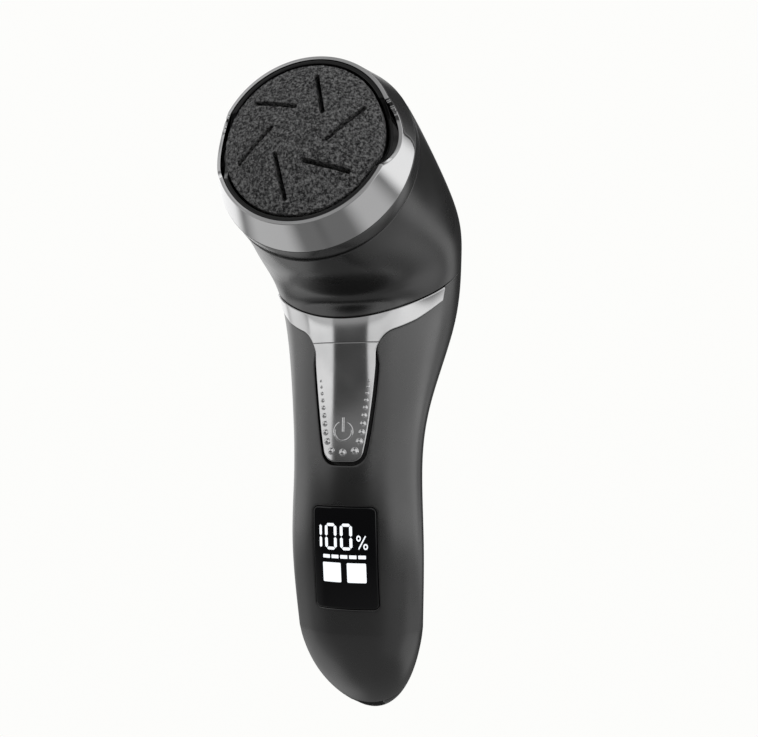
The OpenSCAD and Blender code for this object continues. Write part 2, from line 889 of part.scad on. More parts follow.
// Dust slots, each leaning away from the radius like the vanes of a wheel
module dust_slots(extra) {
    reach = 15.4;
    inner = 7.1;
    lean = 38;
    for (k = [0:slot_count - 1]) {
        a = 81 - 360 * k / slot_count;
        p = reach * [cos(a), sin(a)];
        q = inner * [cos(a - lean), sin(a - lean)];
        along = q - p;
        translate([p[0], p[1], 0]) rotate(atan2(along[1], along[0]))
            translate([-extra, -slot_w / 2 - extra, -10]) cube([norm(along) + 2 * extra,
                slot_w + 2 * extra, 40]);
    }
}

pad_low = 5.05;

module pad_backing() {
    color([0.08, 0.08, 0.08]) on_head() difference() {
        union() {
            translate([0, 0, 3.2]) cylinder(h = pad_low - 3.25, r = pad_r - 0.2);
            translate([0, 0, 1.95]) cylinder(h = 2, r = 2.5, $fn = 48);
        }
        dust_slots(0.3);
    }
}

module abrasive_pad() {
    crown_r = (pad_r * pad_r + pad_crown * pad_crown) / (2 * pad_crown);
    color([0.22, 0.22, 0.22]) on_head() difference() {
        intersection() {
            translate([0, 0, pad_low]) cylinder(h = ring_h + pad_crown, r = pad_r);
            translate([0, 0, ring_h + pad_crown - crown_r]) sphere(crown_r, $fn = 128);
        }
        dust_slots(0);
    }
}

front_shell();
rear_shell();
head_shell();
ring_seat();
ring_liner();
ring_seal();
ring_hood();
chrome_ring();
trim_collar();
power_button();
button_beads();
power_icon();
display_window();
display_segments();
led_module();
main_board();
board_chips();
board_screws();
switch_body();
switch_plunger();
battery_cell();
battery_cradle();
battery_tabs();
battery_leads();
charge_port();
charge_board();
charge_leads();
case_screws();
head_screws();
motor_mount();
motor_screws();
motor_can();
motor_magnets();
motor_bushes();
motor_end_cap();
motor_terminals();
motor_leads();
motor_armature();
motor_shaft();
impeller();
fan_shroud();
dust_filter();
drive_hub();
hub_magnets();
pad_backing();
abrasive_pad();
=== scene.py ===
"""Looks of the cordless callus remover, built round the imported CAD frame.

Shapes are worked out in millimetres in the part's own frame and become metres when a mesh is made.
"""

import json
import math

import bmesh
import bpy
import numpy as np
from mathutils import Matrix


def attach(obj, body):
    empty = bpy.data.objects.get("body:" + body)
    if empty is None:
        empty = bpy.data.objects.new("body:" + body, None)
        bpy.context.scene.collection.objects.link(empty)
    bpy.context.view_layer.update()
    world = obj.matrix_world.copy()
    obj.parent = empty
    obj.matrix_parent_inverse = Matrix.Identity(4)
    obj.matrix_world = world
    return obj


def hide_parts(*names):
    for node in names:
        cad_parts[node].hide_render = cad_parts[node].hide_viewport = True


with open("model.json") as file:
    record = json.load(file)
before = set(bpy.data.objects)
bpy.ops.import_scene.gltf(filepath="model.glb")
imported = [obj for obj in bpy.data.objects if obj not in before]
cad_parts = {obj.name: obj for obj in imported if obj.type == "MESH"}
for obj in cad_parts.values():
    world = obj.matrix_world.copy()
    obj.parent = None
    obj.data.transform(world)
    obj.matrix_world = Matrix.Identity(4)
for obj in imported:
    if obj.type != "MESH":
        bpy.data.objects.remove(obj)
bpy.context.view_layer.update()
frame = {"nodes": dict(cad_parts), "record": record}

MM = 0.001
SEED = 7

# ------------------------------------------------------------------ design sizes, as in the CAD

# Body sections: centre y, centre z, section angle, half width, depth in front, depth behind
STATIONS = np.array([
    [0.9, 25, 90, 16.7, 10.8, 14],
    [-1.4, 47, 90, 17.7, 11.2, 13.8],
    [-0.8, 66, 90, 17.3, 12.1, 14.3],
    [3, 84, 90, 18.9, 14.6, 16.3],
    [12.6, 105, 86, 23.4, 24, 19.2],
    [9.7, 120.5, 62, 26.1, 23, 22.5],
    [-1.2, 130.5, 40, 27.4, 22.8, 21.9],
    [-18.8, 138.5, 21, 24.9, 25.2, 25.8],
    [-32, 142, 15, 24.3, 24.3, 24.3],
])
LAST = len(STATIONS) - 1
CAP_POWER = 1.5
CAP_ROUND = 1.8
CAP_LEAN = 1.8
CAP_SHIFT = 12

HEAD_TILT = math.radians(15)
HEAD_POINT = np.array([0, -32, 142])
HEAD_OUT = np.array([0, -math.cos(HEAD_TILT), math.sin(HEAD_TILT)])
HEAD_UP = np.array([0, math.sin(HEAD_TILT), math.cos(HEAD_TILT)])
RING_BASE_R = 24.3
RING_LIP_R = 21.2
RING_H = 8.0
RIM_W = 0.45
HOOD_EDGE = 1.2
SCALLOP_DEPTH = 3.3
SCALLOP_R = (8.5 ** 2 + SCALLOP_DEPTH ** 2) / (2 * SCALLOP_DEPTH)
SEAT_H = 4.2

PARTING_TILT = math.radians(33)
PARTING_POINT = np.array([0, -11.2, 105.8])
PARTING_UP = np.array([0, -math.sin(PARTING_TILT), math.cos(PARTING_TILT)])
PARTING_HALF_GAP = 0.08
SEAM_GAP = 0.12
ARM_W = 4.3
ARM_END_Y = 2.4
BUTTON_TOP_Z = 99.4
BUTTON_GAP = 0.95
BUTTON_TOP_HALF_GAP = 0.012
SWITCH_Z = 77.3
WALL = 2.0
TRIM_RISE = 0.35
PORT_Y = 8.6

PAD_R = 18.8
PAD_LOW = 5.05
PAD_CROWN = 3.0

WINDOW_Z = 45.0
WINDOW_HALF_W = 8.4
WINDOW_HALF_H = 13.0
WINDOW_GAP = 0.12
FIGURE_LOW = 47.1


# ------------------------------------------------------------------ body surface

def spline_bends(stations):
    """Second differences of the smooth curve through all the stations."""
    count = len(stations)
    matrix = np.eye(count)
    right = np.zeros_like(stations)
    for i in range(1, count - 1):
        matrix[i, i - 1:i + 2] = [1, 4, 1]
        right[i] = 6 * (stations[i - 1] - 2 * stations[i] + stations[i + 1])
    return np.linalg.solve(matrix, right)


BENDS = spline_bends(STATIONS)


def section(u):
    """Body section at station number u; beyond the last station it runs straight on."""
    inside = np.clip(u, 0, LAST)
    i = np.minimum(inside.astype(int), LAST - 1)
    t = (inside - i)[..., None]
    low = (1 - t) * STATIONS[i] + ((1 - t) ** 3 - (1 - t)) * BENDS[i] / 6
    high = t * STATIONS[i + 1] + (t ** 3 - t) * BENDS[i + 1] / 6
    return low + high


GRIP_TAPER = (STATIONS[1] - STATIONS[0] - BENDS[1] / 6) / 22


def body(u, v, inset=0.0):
    """Point on the body at station number u and angle v. Below station 0 lies the rounded end."""
    s = section(u)
    drop = np.sin(np.clip(-u, 0, 1) * math.pi / 2)
    shrink = np.maximum(1 - drop ** CAP_POWER, 0) ** (1 / CAP_ROUND)
    fade = (-STATIONS[0][1] * drop * (1 - drop) ** 3)[..., None] * GRIP_TAPER
    s = s + fade * (u < 0)[..., None]
    half = (s[..., 3] - inset) * shrink
    depth = (np.where(np.sin(v) < 0, s[..., 4], s[..., 5]) - inset) * shrink
    lean = np.radians(s[..., 2])
    centre_z = np.where(u < 0, STATIONS[0][1] - (STATIONS[0][1] - inset) * drop, s[..., 1])
    reach = depth * np.sin(v)
    return np.stack([
        half * np.cos(v),
        s[..., 0] + CAP_SHIFT * drop ** CAP_LEAN + reach * np.sin(lean),
        centre_z + reach * np.cos(lean),
    ], -1)


def well_floor_surface(u, v, inset=0.0):
    return body(u, v, WALL + inset)


def ring_cone(u, v, inset=0.0):
    """Point on the removable ring's outside at height u and angle v round the grinding axis."""
    radius = RING_BASE_R - (RING_BASE_R - RING_LIP_R) * u / RING_H - inset
    return HEAD_POINT + (radius * np.cos(v))[..., None] * np.array([1, 0, 0]) \
        + (radius * np.sin(v))[..., None] * HEAD_UP + u[..., None] * HEAD_OUT


def pad_dome(u, v, inset=0.0):
    """Point on the pad's domed face at local place u, v."""
    dome_r = (PAD_R ** 2 + PAD_CROWN ** 2) / (2 * PAD_CROWN)
    rise = RING_H + PAD_CROWN - dome_r + np.sqrt(dome_r ** 2 - np.minimum(u ** 2 + v ** 2, 900))
    height = np.where(inset > 0, PAD_LOW, rise)
    return HEAD_POINT + u[..., None] * np.array([1, 0, 0]) + v[..., None] * HEAD_UP \
        + height[..., None] * HEAD_OUT


def normals(surface, u, v, flip):
    step = 0.004
    du = surface(u + step, v) - surface(u - step, v)
    dv = surface(u, v + step) - surface(u, v - step)
    n = np.cross(dv, du) * flip
    return n / np.maximum(np.linalg.norm(n, axis=-1, keepdims=True), 1e-9)


# ------------------------------------------------------------------ outlines as signed distances

def along_head(p):
    return (p - HEAD_POINT) @ HEAD_OUT


def across_head(p):
    return (p - HEAD_POINT) @ HEAD_UP


def over_parting(p):
    return (p - PARTING_POINT) @ PARTING_UP


def join_round(a, b, r):
    """Union of two regions with a hollow corner of radius r."""
    corner = np.sqrt(np.maximum(r - a, 0) ** 2 + np.maximum(r - b, 0) ** 2)
    return np.maximum(r, np.minimum(a, b)) - corner


def meet_round(a, b, r):
    """Overlap of two regions with its corner rounded to radius r."""
    return -join_round(-a, -b, r)


def outline_distance(x, y, corners):
    """Signed distance to a closed outline of straight stretches, negative inside."""
    corners = np.array(corners, float)
    best = np.full(x.shape, 1e9)
    inside = np.zeros(x.shape, bool)
    for a, b in zip(corners, np.roll(corners, -1, axis=0)):
        edge = b - a
        px = x - a[0]
        py = y - a[1]
        t = np.clip((px * edge[0] + py * edge[1]) / (edge @ edge), 0, 1)
        best = np.minimum(best, np.hypot(px - t * edge[0], py - t * edge[1]))
        crosses = (a[1] > y) != (b[1] > y)
        level = np.where(crosses, a[0] + (y - a[1]) * edge[0] / (edge[1] or 1e-9), -1e9)
        inside ^= crosses & (x < level)
    return np.where(inside, -best, best)


def mirrored(half):
    """Closed outline from its right half, listed from bottom to top."""
    return half + [(-x, y) for x, y in reversed(half)]


def rounded_box(x, y, half_w, half_h, r):
    dx = np.abs(x) - half_w + r
    dy = np.abs(y) - half_h + r
    return np.hypot(np.maximum(dx, 0), np.maximum(dy, 0)) + np.minimum(np.maximum(dx, dy), 0) - r


def front_side(p):
    """Keeps an outline drawn on the front view off the back of the body."""
    return p[..., 1] - 8


def tongue(p):
    """Long button outline, which runs on up into the trim."""
    r = 3.0
    half = [(2.2, 72.3), (2.6, 74.3), (3.05, 77), (3.6, 81), (4.2, 86), (4.6, 90), (4.95, 94), (5.2, 112)]
    return outline_distance(p[..., 0], p[..., 2], mirrored(half)) - r


def trim(p):
    """Bright trim: the band under the parting plane, its tapered arms, and the tongue below it."""
    width = ARM_W - 0.75 * np.clip((p[..., 1] + 4) / 6, 0, 1)
    end = p[..., 1] - ARM_END_Y - 0.2 * (113 - p[..., 2])
    arms = meet_round(-over_parting(p) - width, end, 0.5)
    both = join_round(np.maximum(tongue(p), front_side(p)), arms, 4.2)
    return np.maximum(both, over_parting(p) + PARTING_HALF_GAP)


def collar(p):
    return np.maximum(trim(p), BUTTON_TOP_Z - p[..., 2] + BUTTON_TOP_HALF_GAP)


def button(p):
    return np.maximum(trim(p), p[..., 2] - BUTTON_TOP_Z + BUTTON_TOP_HALF_GAP)


def gap_round_button(p):
    """The shadow gap round the button, which opens gradually below the trim's shoulders."""
    opened = np.clip((BUTTON_TOP_Z - p[..., 2]) / 7.5, 0, 1)
    shut = 0.08
    return shut + (BUTTON_GAP - shut) * opened * opened * (3 - 2 * opened)


def well_floor(p):
    """Floor of the recess behind the button, with a hole for its switch post."""
    hole = 1.6 - np.hypot(p[..., 0], p[..., 2] - SWITCH_Z)
    return np.maximum(np.maximum(button(p) - 1.6, hole), over_parting(p) + 1)


def window(p):
    flat = rounded_box(p[..., 0], p[..., 2] - WINDOW_Z, WINDOW_HALF_W, WINDOW_HALF_H, 1.5)
    return np.maximum(flat, front_side(p))


def before_seam(p):
    """Distance in front of the line where the two handle shells meet, negative behind it."""
    u = np.arange(0, 4.1, 0.5)
    s = section(u)
    z = np.concatenate([[-10, 8], s[:, 1], [116, 150]])
    y = np.concatenate([[6.2, 6.2], s[:, 0] + 4.5, [19.5, 20]])
    return np.interp(p[..., 2], z, y) - p[..., 1]


def exhaust_slots(p):
    far = np.full(p.shape[:-1], 1e3)
    for k in range(5):
        slot = rounded_box(p[..., 0], p[..., 2] - 93 - 4 * k, 8.9 - 0.6 * k, 0.9, 0.9)
        far = np.minimum(far, np.maximum(slot, 12 - p[..., 1]))
    return far


def port_opening(p):
    flat = rounded_box(p[..., 0], p[..., 1] - PORT_Y, 4.9, 1.8, 1.8)
    return np.maximum(flat, p[..., 2] - 8)


def front_shell(p):
    solid = np.maximum(over_parting(p) + PARTING_HALF_GAP, SEAM_GAP / 2 - before_seam(p))
    openings = np.maximum(gap_round_button(p) - trim(p), -window(p) + WINDOW_GAP)
    return np.maximum(solid, openings)


def rear_shell(p):
    solid = np.maximum(over_parting(p) + PARTING_HALF_GAP, SEAM_GAP / 2 + before_seam(p))
    holes = np.maximum(-exhaust_slots(p), -port_opening(p))
    return np.maximum(np.maximum(solid, holes), 0.1 - trim(p))


def head_shell(p):
    return np.maximum(PARTING_HALF_GAP - over_parting(p), along_head(p) + SEAT_H + 0.08)


def lip_height(across):
    """Height of the ring's lip, which dips into the two scallops."""
    return np.where(
        np.abs(across) < SCALLOP_R,
        np.minimum(RING_H, RING_H - SCALLOP_DEPTH + SCALLOP_R
                   - np.sqrt(np.maximum(SCALLOP_R ** 2 - across ** 2, 0))),
        RING_H,
    )


def chrome_band(p):
    across = across_head(p)
    height = along_head(p)
    top = lip_height(across)
    low = meet_round(-height, across - HOOD_EDGE, 2.6)
    rim = top - RIM_W - height
    return np.maximum(join_round(low, rim, 0.7), height - top)


def hood_band(p):
    across = across_head(p)
    height = along_head(p)
    top = lip_height(across) - RIM_W - 0.12
    low = meet_round(-height, across - HOOD_EDGE - 0.12, 2.6)
    beside = meet_round(-low, height - top, 0.6)
    return np.maximum(np.maximum(beside, -height), HOOD_EDGE - 3 - across)


def slot_ends():
    """Both ends of each dust slot; each leans off the radius like the vane of a wheel."""
    for k in range(6):
        a = math.radians(81 - 60 * k)
        b = a - math.radians(38)
        yield (15.4 * math.cos(a), 15.4 * math.sin(a)), (7.1 * math.cos(b), 7.1 * math.sin(b))


def pad_outline(p):
    x = p[..., 0]
    y = across_head(p)
    region = np.hypot(x, y) - PAD_R
    for (ax, ay), (bx, by) in slot_ends():
        dx, dy = bx - ax, by - ay
        t = np.clip(((x - ax) * dx + (y - ay) * dy) / (dx * dx + dy * dy), 0, 1)
        region = np.maximum(region, 0.6 - np.hypot(x - ax - t * dx, y - ay - t * dy))
    return region


# ------------------------------------------------------------------ meshes

def new_object(name, verts_mm, faces, smooth_angle=40):
    mesh = bpy.data.meshes.new(name)
    mesh.from_pydata((np.asarray(verts_mm) * MM).tolist(), [], [list(map(int, f)) for f in faces])
    bm = bmesh.new()
    bm.from_mesh(mesh)
    bmesh.ops.remove_doubles(bm, verts=bm.verts, dist=2e-6)
    bmesh.ops.dissolve_degenerate(bm, edges=bm.edges, dist=1e-7)
    loose = [v for v in bm.verts if not v.link_faces]
    bmesh.ops.delete(bm, geom=loose, context="VERTS")
    limit = math.radians(smooth_angle)
    for edge in bm.edges:
        edge.smooth = len(edge.link_faces) == 2 and edge.calc_face_angle(0) < limit
    for face in bm.faces:
        face.smooth = True
    bm.to_mesh(mesh)
    bm.free()
    obj = bpy.data.objects.new(name, mesh)
    bpy.context.scene.collection.objects.link(obj)
    return obj


def edge_distance(field, p, n):
    """Distance to the region's edge measured along the surface, and the way towards it."""
    step = 0.03
    slope = np.stack([
        (field(p + step * axis) - field(p - step * axis)) / (2 * step) for axis in np.eye(3)
    ], -1)
    slope -= n * (slope * n).sum(-1, keepdims=True)
    size = np.linalg.norm(slope, axis=-1)
    return field(p) / np.clip(size, 0.35, 3), slope / np.maximum(size, 1e-6)[..., None]


def snap_to_edge(u, v, d):
    """Moves grid points onto the edge of the region, so that it cuts no cell across its sides."""
    best = np.full(d.shape, 2.0)
    new_u = u.copy()
    new_v = v.copy()
    for low, high in ((np.s_[:-1, :], np.s_[1:, :]), (np.s_[:, :-1], np.s_[:, 1:])):
        crosses = d[low] * d[high] < 0
        share = np.where(crosses, d[low] / np.where(crosses, d[low] - d[high], 1), 0)
        for here, there, t in ((low, high, share), (high, low, 1 - share)):
            take = crosses & (t <= 0.5) & (t < best[here])
            best[here] = np.where(take, t, best[here])
            new_u[here] = np.where(take, u[here] + (u[there] - u[here]) * t, new_u[here])
            new_v[here] = np.where(take, v[here] + (v[there] - v[here]) * t, new_v[here])
    return new_u, new_v, np.where(best < 2, 0.0, d)


def wrap(a, turn):
    """Adds the first and last columns again on the other side of a closed grid."""
    return np.concatenate([a[:, -1:] - turn, a, a[:, :1] + turn], axis=1)


def grid_cells(d, middle, closed):
    """Quads and triangles of the grid that lie inside the region."""
    rows, cols = d.shape
    index = np.arange(rows * cols).reshape(rows, cols)
    last = cols if closed else cols - 1
    faces = []
    corners = []
    for di, dj in ((0, 0), (1, 0), (1, 1), (0, 1)):
        moved = np.roll(index, -dj, axis=1)
        corners.append(moved[di:rows - 1 + di, :last])
    corners = np.stack(corners, -1).reshape(-1, 4)
    value = d.reshape(-1)[corners]
    out = value > 0
    outside = out.sum(1)
    centre = middle.reshape(-1)[corners].mean(1)
    whole = (outside == 0) & ((value.min(1) < 0) | (centre < 0))
    faces += corners[whole].tolist()
    single = (outside == 1) & (value.min(1) < 0)
    for quad, o in zip(corners[single].tolist(), out[single]):
        faces.append([c for c, gone in zip(quad, o) if not gone])
    return faces


def patch(name, surface, us, vs, region, thick, edge_r=0.25, lift=None, closed=False, flip=1,
          smooth_angle=40):
    """Closed solid lying on a surface: a region of it with a rounded edge and a thickness.
    edge_r is a number or a function of place, and lift says how far it stands off the surface."""
    u, v = np.meshgrid(np.asarray(us, float), np.asarray(vs, float), indexing="ij")

    def radius(p):
        return edge_r(p) if callable(edge_r) else np.full(p.shape[:-1], edge_r)

    def place(u, v):
        p = surface(u, v)
        n = normals(surface, u, v, flip)
        return p, n

    p, n = place(u, v)
    d = edge_distance(region, p, n)[0] + radius(p)
    if closed:
        turn = 2 * math.pi
        su, sv, sd = snap_to_edge(wrap(u, 0), wrap(v, turn), wrap(d, 0))
        su, sv, sd = su[:, 1:-1], sv[:, 1:-1], sd[:, 1:-1]
    else:
        su, sv, sd = snap_to_edge(u, v, d)
    faces = grid_cells(sd, d, closed)
    used, faces_flat = np.unique(np.concatenate([np.array(f) for f in faces]), return_inverse=True)
    sizes = [len(f) for f in faces]
    cells = np.split(faces_flat, np.cumsum(sizes)[:-1])
    cells = [c.tolist() for c in cells]
    su = su.reshape(-1)[used]
    sv = sv.reshape(-1)[used]
    p, n = place(su, sv)
    height = lift(p) if lift else np.zeros(len(p))
    top = p + n * height[:, None]
    under = surface(su, sv, thick)
    start, second, third = cells[0][:3]
    if np.sum(np.cross(top[second] - top[start], top[third] - top[start]) * n[start]) < 0:
        cells = [c[::-1] for c in cells]
    directed = {}
    for c in cells:
        for a, b in zip(c, c[1:] + c[:1]):
            directed[(a, b)] = True
    border = [(a, b) for a, b in directed if (b, a) not in directed]
    border = [(a, b) for a, b in border if np.linalg.norm(top[a] - top[b]) > 0.004]
    rim = np.unique(np.array(border).reshape(-1))
    order = {int(r): k for k, r in enumerate(rim)}
    out_way = edge_distance(region, p[rim], n[rim])[1]
    r = radius(p[rim])[:, None]
    rows = []
    for angle in (30, 60, 90):
        a = math.radians(angle)
        rows.append(top[rim] + out_way * r * math.sin(a) - n[rim] * r * (1 - math.cos(a)))
    rows.append(under[rim] + out_way * r)
    count = len(top)
    verts = np.concatenate([top] + rows + [under])
    base = [None] + [count + k * len(rim) for k in range(len(rows))]
    under_base = count + len(rows) * len(rim)
    mesh_faces = list(cells)
    for a, b in border:
        ia, ib = order[a], order[b]
        chain = [(a, b)] + [(s + ia, s + ib) for s in base[1:]] + [(under_base + a, under_base + b)]
        for (a0, b0), (a1, b1) in zip(chain, chain[1:]):
            mesh_faces.append([b0, a0, a1, b1])
    mesh_faces += [[under_base + k for k in reversed(c)] for c in cells]
    return new_object(name, verts, mesh_faces, smooth_angle)


def turned(name, profile, height=None, steps=256, smooth_angle=40):
    """Solid turned round the grinding axis from a closed profile of (radius, height) points.
    height(across) lowers the points that are marked as lying on the lip."""
    angles = np.arange(steps) * 2 * math.pi / steps
    verts = []
    for a in angles:
        for radius, h, on_lip in profile:
            across = radius * math.sin(a)
            level = h
            if on_lip:
                level = h - RING_H + float(height(np.array(across)))
            verts.append(HEAD_POINT + radius * math.cos(a) * np.array([1, 0, 0]) + across * HEAD_UP
                         + level * HEAD_OUT)
    count = len(profile)
    faces = []
    for k in range(steps):
        for j in range(count):
            a = k * count + j
            b = k * count + (j + 1) % count
            c = ((k + 1) % steps) * count + (j + 1) % count
            d = ((k + 1) % steps) * count + j
            faces.append([a, d, c, b])
    return new_object(name, np.array(verts), faces, smooth_angle)


def corner_arc(cx, cy, r, start, end, on_lip=False, steps=5):
    for k in range(steps + 1):
        a = math.radians(start + (end - start) * k / steps)
        yield cx + r * math.cos(a), cy + r * math.sin(a), on_lip


def rock(seed, shape, passes):
    """Repeatable rough height field, smoothed a few times."""
    field = np.random.default_rng(seed).random(shape)
    for _ in range(passes):
        field = (field + np.roll(field, 1, 0) + np.roll(field, -1, 0)
                 + np.roll(field, 1, 1) + np.roll(field, -1, 1)) / 5
    field -= field.mean()
    return field / field.std()


# ------------------------------------------------------------------ materials

class Shader:
    """Small helper for building one procedural material."""

    def __init__(self, name):
        self.material = bpy.data.materials.new(name)
        self.material.use_nodes = True
        self.tree = self.material.node_tree
        self.surface = self.tree.nodes["Principled BSDF"]
        self.place = self.tree.nodes.new("ShaderNodeTexCoord").outputs["Object"]

    def node(self, kind, **inputs):
        made = self.tree.nodes.new(kind)
        for key, value in inputs.items():
            name = key.replace("_", " ").title() if not key[0].isupper() else key
            if isinstance(value, bpy.types.NodeSocket):
                self.tree.links.new(value, made.inputs[name])
            else:
                made.inputs[name].default_value = value
        return made

    def noise(self, scale, detail=3.0, rough=0.5):
        return self.node("ShaderNodeTexNoise", Vector=self.place, Scale=scale, Detail=detail,
                         Roughness=rough).outputs["Fac"]

    def grain(self, scale):
        made = self.node("ShaderNodeTexVoronoi", Vector=self.place, Scale=scale)
        return made.outputs["Distance"]

    def range(self, value, low, high, lowest=0.0, highest=1.0):
        made = self.tree.nodes.new("ShaderNodeMapRange")
        self.tree.links.new(value, made.inputs["Value"])
        made.inputs["From Min"].default_value = lowest
        made.inputs["From Max"].default_value = highest
        made.inputs["To Min"].default_value = low
        made.inputs["To Max"].default_value = high
        return made.outputs["Result"]

    def blend(self, factor, a, b):
        made = self.tree.nodes.new("ShaderNodeMix")
        made.data_type = "RGBA"
        self.tree.links.new(factor, made.inputs[0])
        made.inputs[6].default_value = (*a, 1)
        made.inputs[7].default_value = (*b, 1)
        return made.outputs[2]

    def bump(self, value, strength, distance):
        made = self.tree.nodes.new("ShaderNodeBump")
        made.inputs["Strength"].default_value = strength
        made.inputs["Distance"].default_value = distance
        self.tree.links.new(value, made.inputs["Height"])
        self.link("Normal", made.outputs["Normal"])

    def link(self, socket, value):
        if isinstance(value, bpy.types.NodeSocket):
            self.tree.links.new(value, self.surface.inputs[socket])
        else:
            self.surface.inputs[socket].default_value = value


def moulded(name, dark, light, rough, texture=0.25, patchy=30.0, gloss=(1.5, 0.5)):
    """Moulded plastic: fine spark texture, slight colour and gloss drift.
    gloss is its index of refraction and its specular level."""
    s = Shader(name)
    drift = s.noise(patchy, 4.0)
    s.link("Base Color", s.blend(drift, dark, light))
    s.link("Roughness", s.range(s.noise(patchy * 3, 3.0), rough - 0.03, rough + 0.04, 0.3, 0.7))
    s.link("IOR", gloss[0])
    s.link("Specular IOR Level", gloss[1])
    s.bump(s.noise(5500.0, 2.0), texture, 0.00003)
    return s.material


def plated(name, dark, light, rough, texture=0.08):
    """Satin plating: even metal with a soft drift in gloss and very fine waviness."""
    s = Shader(name)
    s.link("Metallic", 1.0)
    s.link("Base Color", s.blend(s.noise(60.0, 3.0), dark, light))
    s.link("Roughness", s.range(s.noise(140.0, 4.0), rough - 0.02, rough + 0.03, 0.3, 0.7))
    s.bump(s.noise(2600.0, 2.0), texture, 0.00002)
    return s.material


def abrasive(name):
    """Coated grit: dark resin with grey mineral grains of mixed size."""
    s = Shader(name)
    specks = s.range(s.noise(1500.0, 4.0, 0.75), 0.0, 1.0, 0.42, 0.66)
    s.link("Base Color", s.blend(specks, (0.012, 0.012, 0.013), (0.4, 0.4, 0.4)))
    s.link("Roughness", s.range(s.noise(900.0, 2.0), 0.5, 0.85, 0.3, 0.7))
    s.bump(s.grain(1700.0), 0.9, 0.0003)
    return s.material


def lit(name, colour, power):
    s = Shader(name)
    s.link("Base Color", (*colour, 1))
    s.link("Emission Color", s.blend(s.noise(120.0, 2.0), colour, tuple(c * 0.9 for c in colour)))
    s.link("Emission Strength", power)
    s.link("Roughness", 0.4)
    return s.material


def make_materials():
    return {
        "body_black": moulded("body_black", (0.005, 0.005, 0.005), (0.007, 0.007, 0.007), 0.28, 0.2,
                              gloss=(2.0, 0.6)),
        "ring_dark": moulded("ring_dark", (0.016, 0.016, 0.016), (0.02, 0.02, 0.02), 0.26, 0.15,
                             gloss=(2.0, 0.7)),
        "liner_black": moulded("liner_black", (0.004, 0.004, 0.004), (0.008, 0.008, 0.008), 0.14, 0.05),
        "bright_chrome": plated("bright_chrome", (0.66, 0.66, 0.665), (0.7, 0.7, 0.7), 0.13),
        "bead_chrome": plated("bead_chrome", (0.8, 0.8, 0.81), (0.9, 0.9, 0.9), 0.06, 0.02),
        "icon_print": plated("icon_print", (0.75, 0.75, 0.76), (0.85, 0.85, 0.85), 0.2, 0.02),
        "window_black": moulded("window_black", (0.003, 0.003, 0.004), (0.005, 0.005, 0.006), 0.07, 0.01),
        "display_light": lit("display_light", (0.86, 0.9, 0.93), 0.95),
        "seal_rubber": moulded("seal_rubber", (0.01, 0.01, 0.01), (0.016, 0.016, 0.016), 0.6),
        "grit": abrasive("grit"),
        "inner_plastic": moulded("inner_plastic", (0.015, 0.015, 0.016), (0.03, 0.03, 0.03), 0.5),
        "module_white": moulded("module_white", (0.6, 0.6, 0.58), (0.68, 0.68, 0.66), 0.45),
        "foam": moulded("foam", (0.03, 0.03, 0.03), (0.09, 0.09, 0.09), 0.9, 1.0, 900.0),
        "board_green": moulded("board_green", (0.01, 0.09, 0.04), (0.015, 0.12, 0.05), 0.3),
        "chip_black": moulded("chip_black", (0.01, 0.01, 0.01), (0.02, 0.02, 0.02), 0.4),
        "screw_steel": plated("screw_steel", (0.5, 0.5, 0.5), (0.6, 0.6, 0.6), 0.3),
        "magnet_dark": plated("magnet_dark", (0.15, 0.15, 0.16), (0.22, 0.22, 0.22), 0.4),
        "bronze": plated("bronze", (0.45, 0.3, 0.13), (0.55, 0.38, 0.18), 0.35),
        "winding": plated("winding", (0.4, 0.15, 0.06), (0.5, 0.22, 0.1), 0.35),
        "cell_sleeve": moulded("cell_sleeve", (0.02, 0.08, 0.25), (0.03, 0.1, 0.3), 0.3),
        "wire_red": moulded("wire_red", (0.35, 0.01, 0.01), (0.45, 0.02, 0.02), 0.4),
        "wire_black": moulded("wire_black", (0.01, 0.01, 0.01), (0.02, 0.02, 0.02), 0.4),
    }


# ------------------------------------------------------------------ pieces

def finish_piece(obj, material_slot, rides_on, *nodes):
    obj.data.materials.append(MATERIALS[material_slot])
    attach(obj, rides_on)
    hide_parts(*nodes)


def casings():
    turn = np.arange(264) * 2 * math.pi / 264
    rounded_end = -np.linspace(1, 0, 34)[:-1] ** 0.8
    handle = np.concatenate([rounded_end, np.linspace(0, 5.3, 250)])
    shells = (
        ("front_casing", front_shell, handle, "front_shell"),
        ("rear_casing", rear_shell, handle, "rear_shell"),
        ("head_casing", head_shell, np.linspace(3.6, 8, 230), "head_shell"),
    )
    for name, region, us, node in shells:
        obj = patch(name, body, us, turn, region, WALL, 0.22, closed=True)
        finish_piece(obj, "body_black", "handle", node)


def trim_edge(p):
    """Radius of the bright trim's edge, which fades out where the button leaves the collar."""
    far = np.clip((np.abs(p[..., 2] - BUTTON_TOP_Z) - 0.5) / 1.5, 0, 1)
    return 0.008 + 0.2 * far


def trim_rise(p):
    """How far the bright trim stands proud of the casing."""
    return np.full(p.shape[:-1], TRIM_RISE)


def trim_pieces():
    front = np.linspace(math.pi * 0.95, math.pi * 2.05, 330)
    obj = patch("trim_arms", body, np.linspace(3.3, 5.3, 210), front, collar, 1.2, trim_edge,
                lift=trim_rise)
    finish_piece(obj, "bright_chrome", "handle", "trim_collar")
    middle = np.linspace(math.pi * 1.33, math.pi * 1.67, 150)
    obj = patch("long_button", body, np.linspace(2, 4, 250), middle, button, 1.2, trim_edge,
                lift=trim_rise)
    finish_piece(obj, "bright_chrome", "button", "power_button")
    obj = patch("button_well", well_floor_surface, np.linspace(2, 4.4, 60), middle, well_floor, 0.8, 0.05)
    finish_piece(obj, "inner_plastic", "handle")


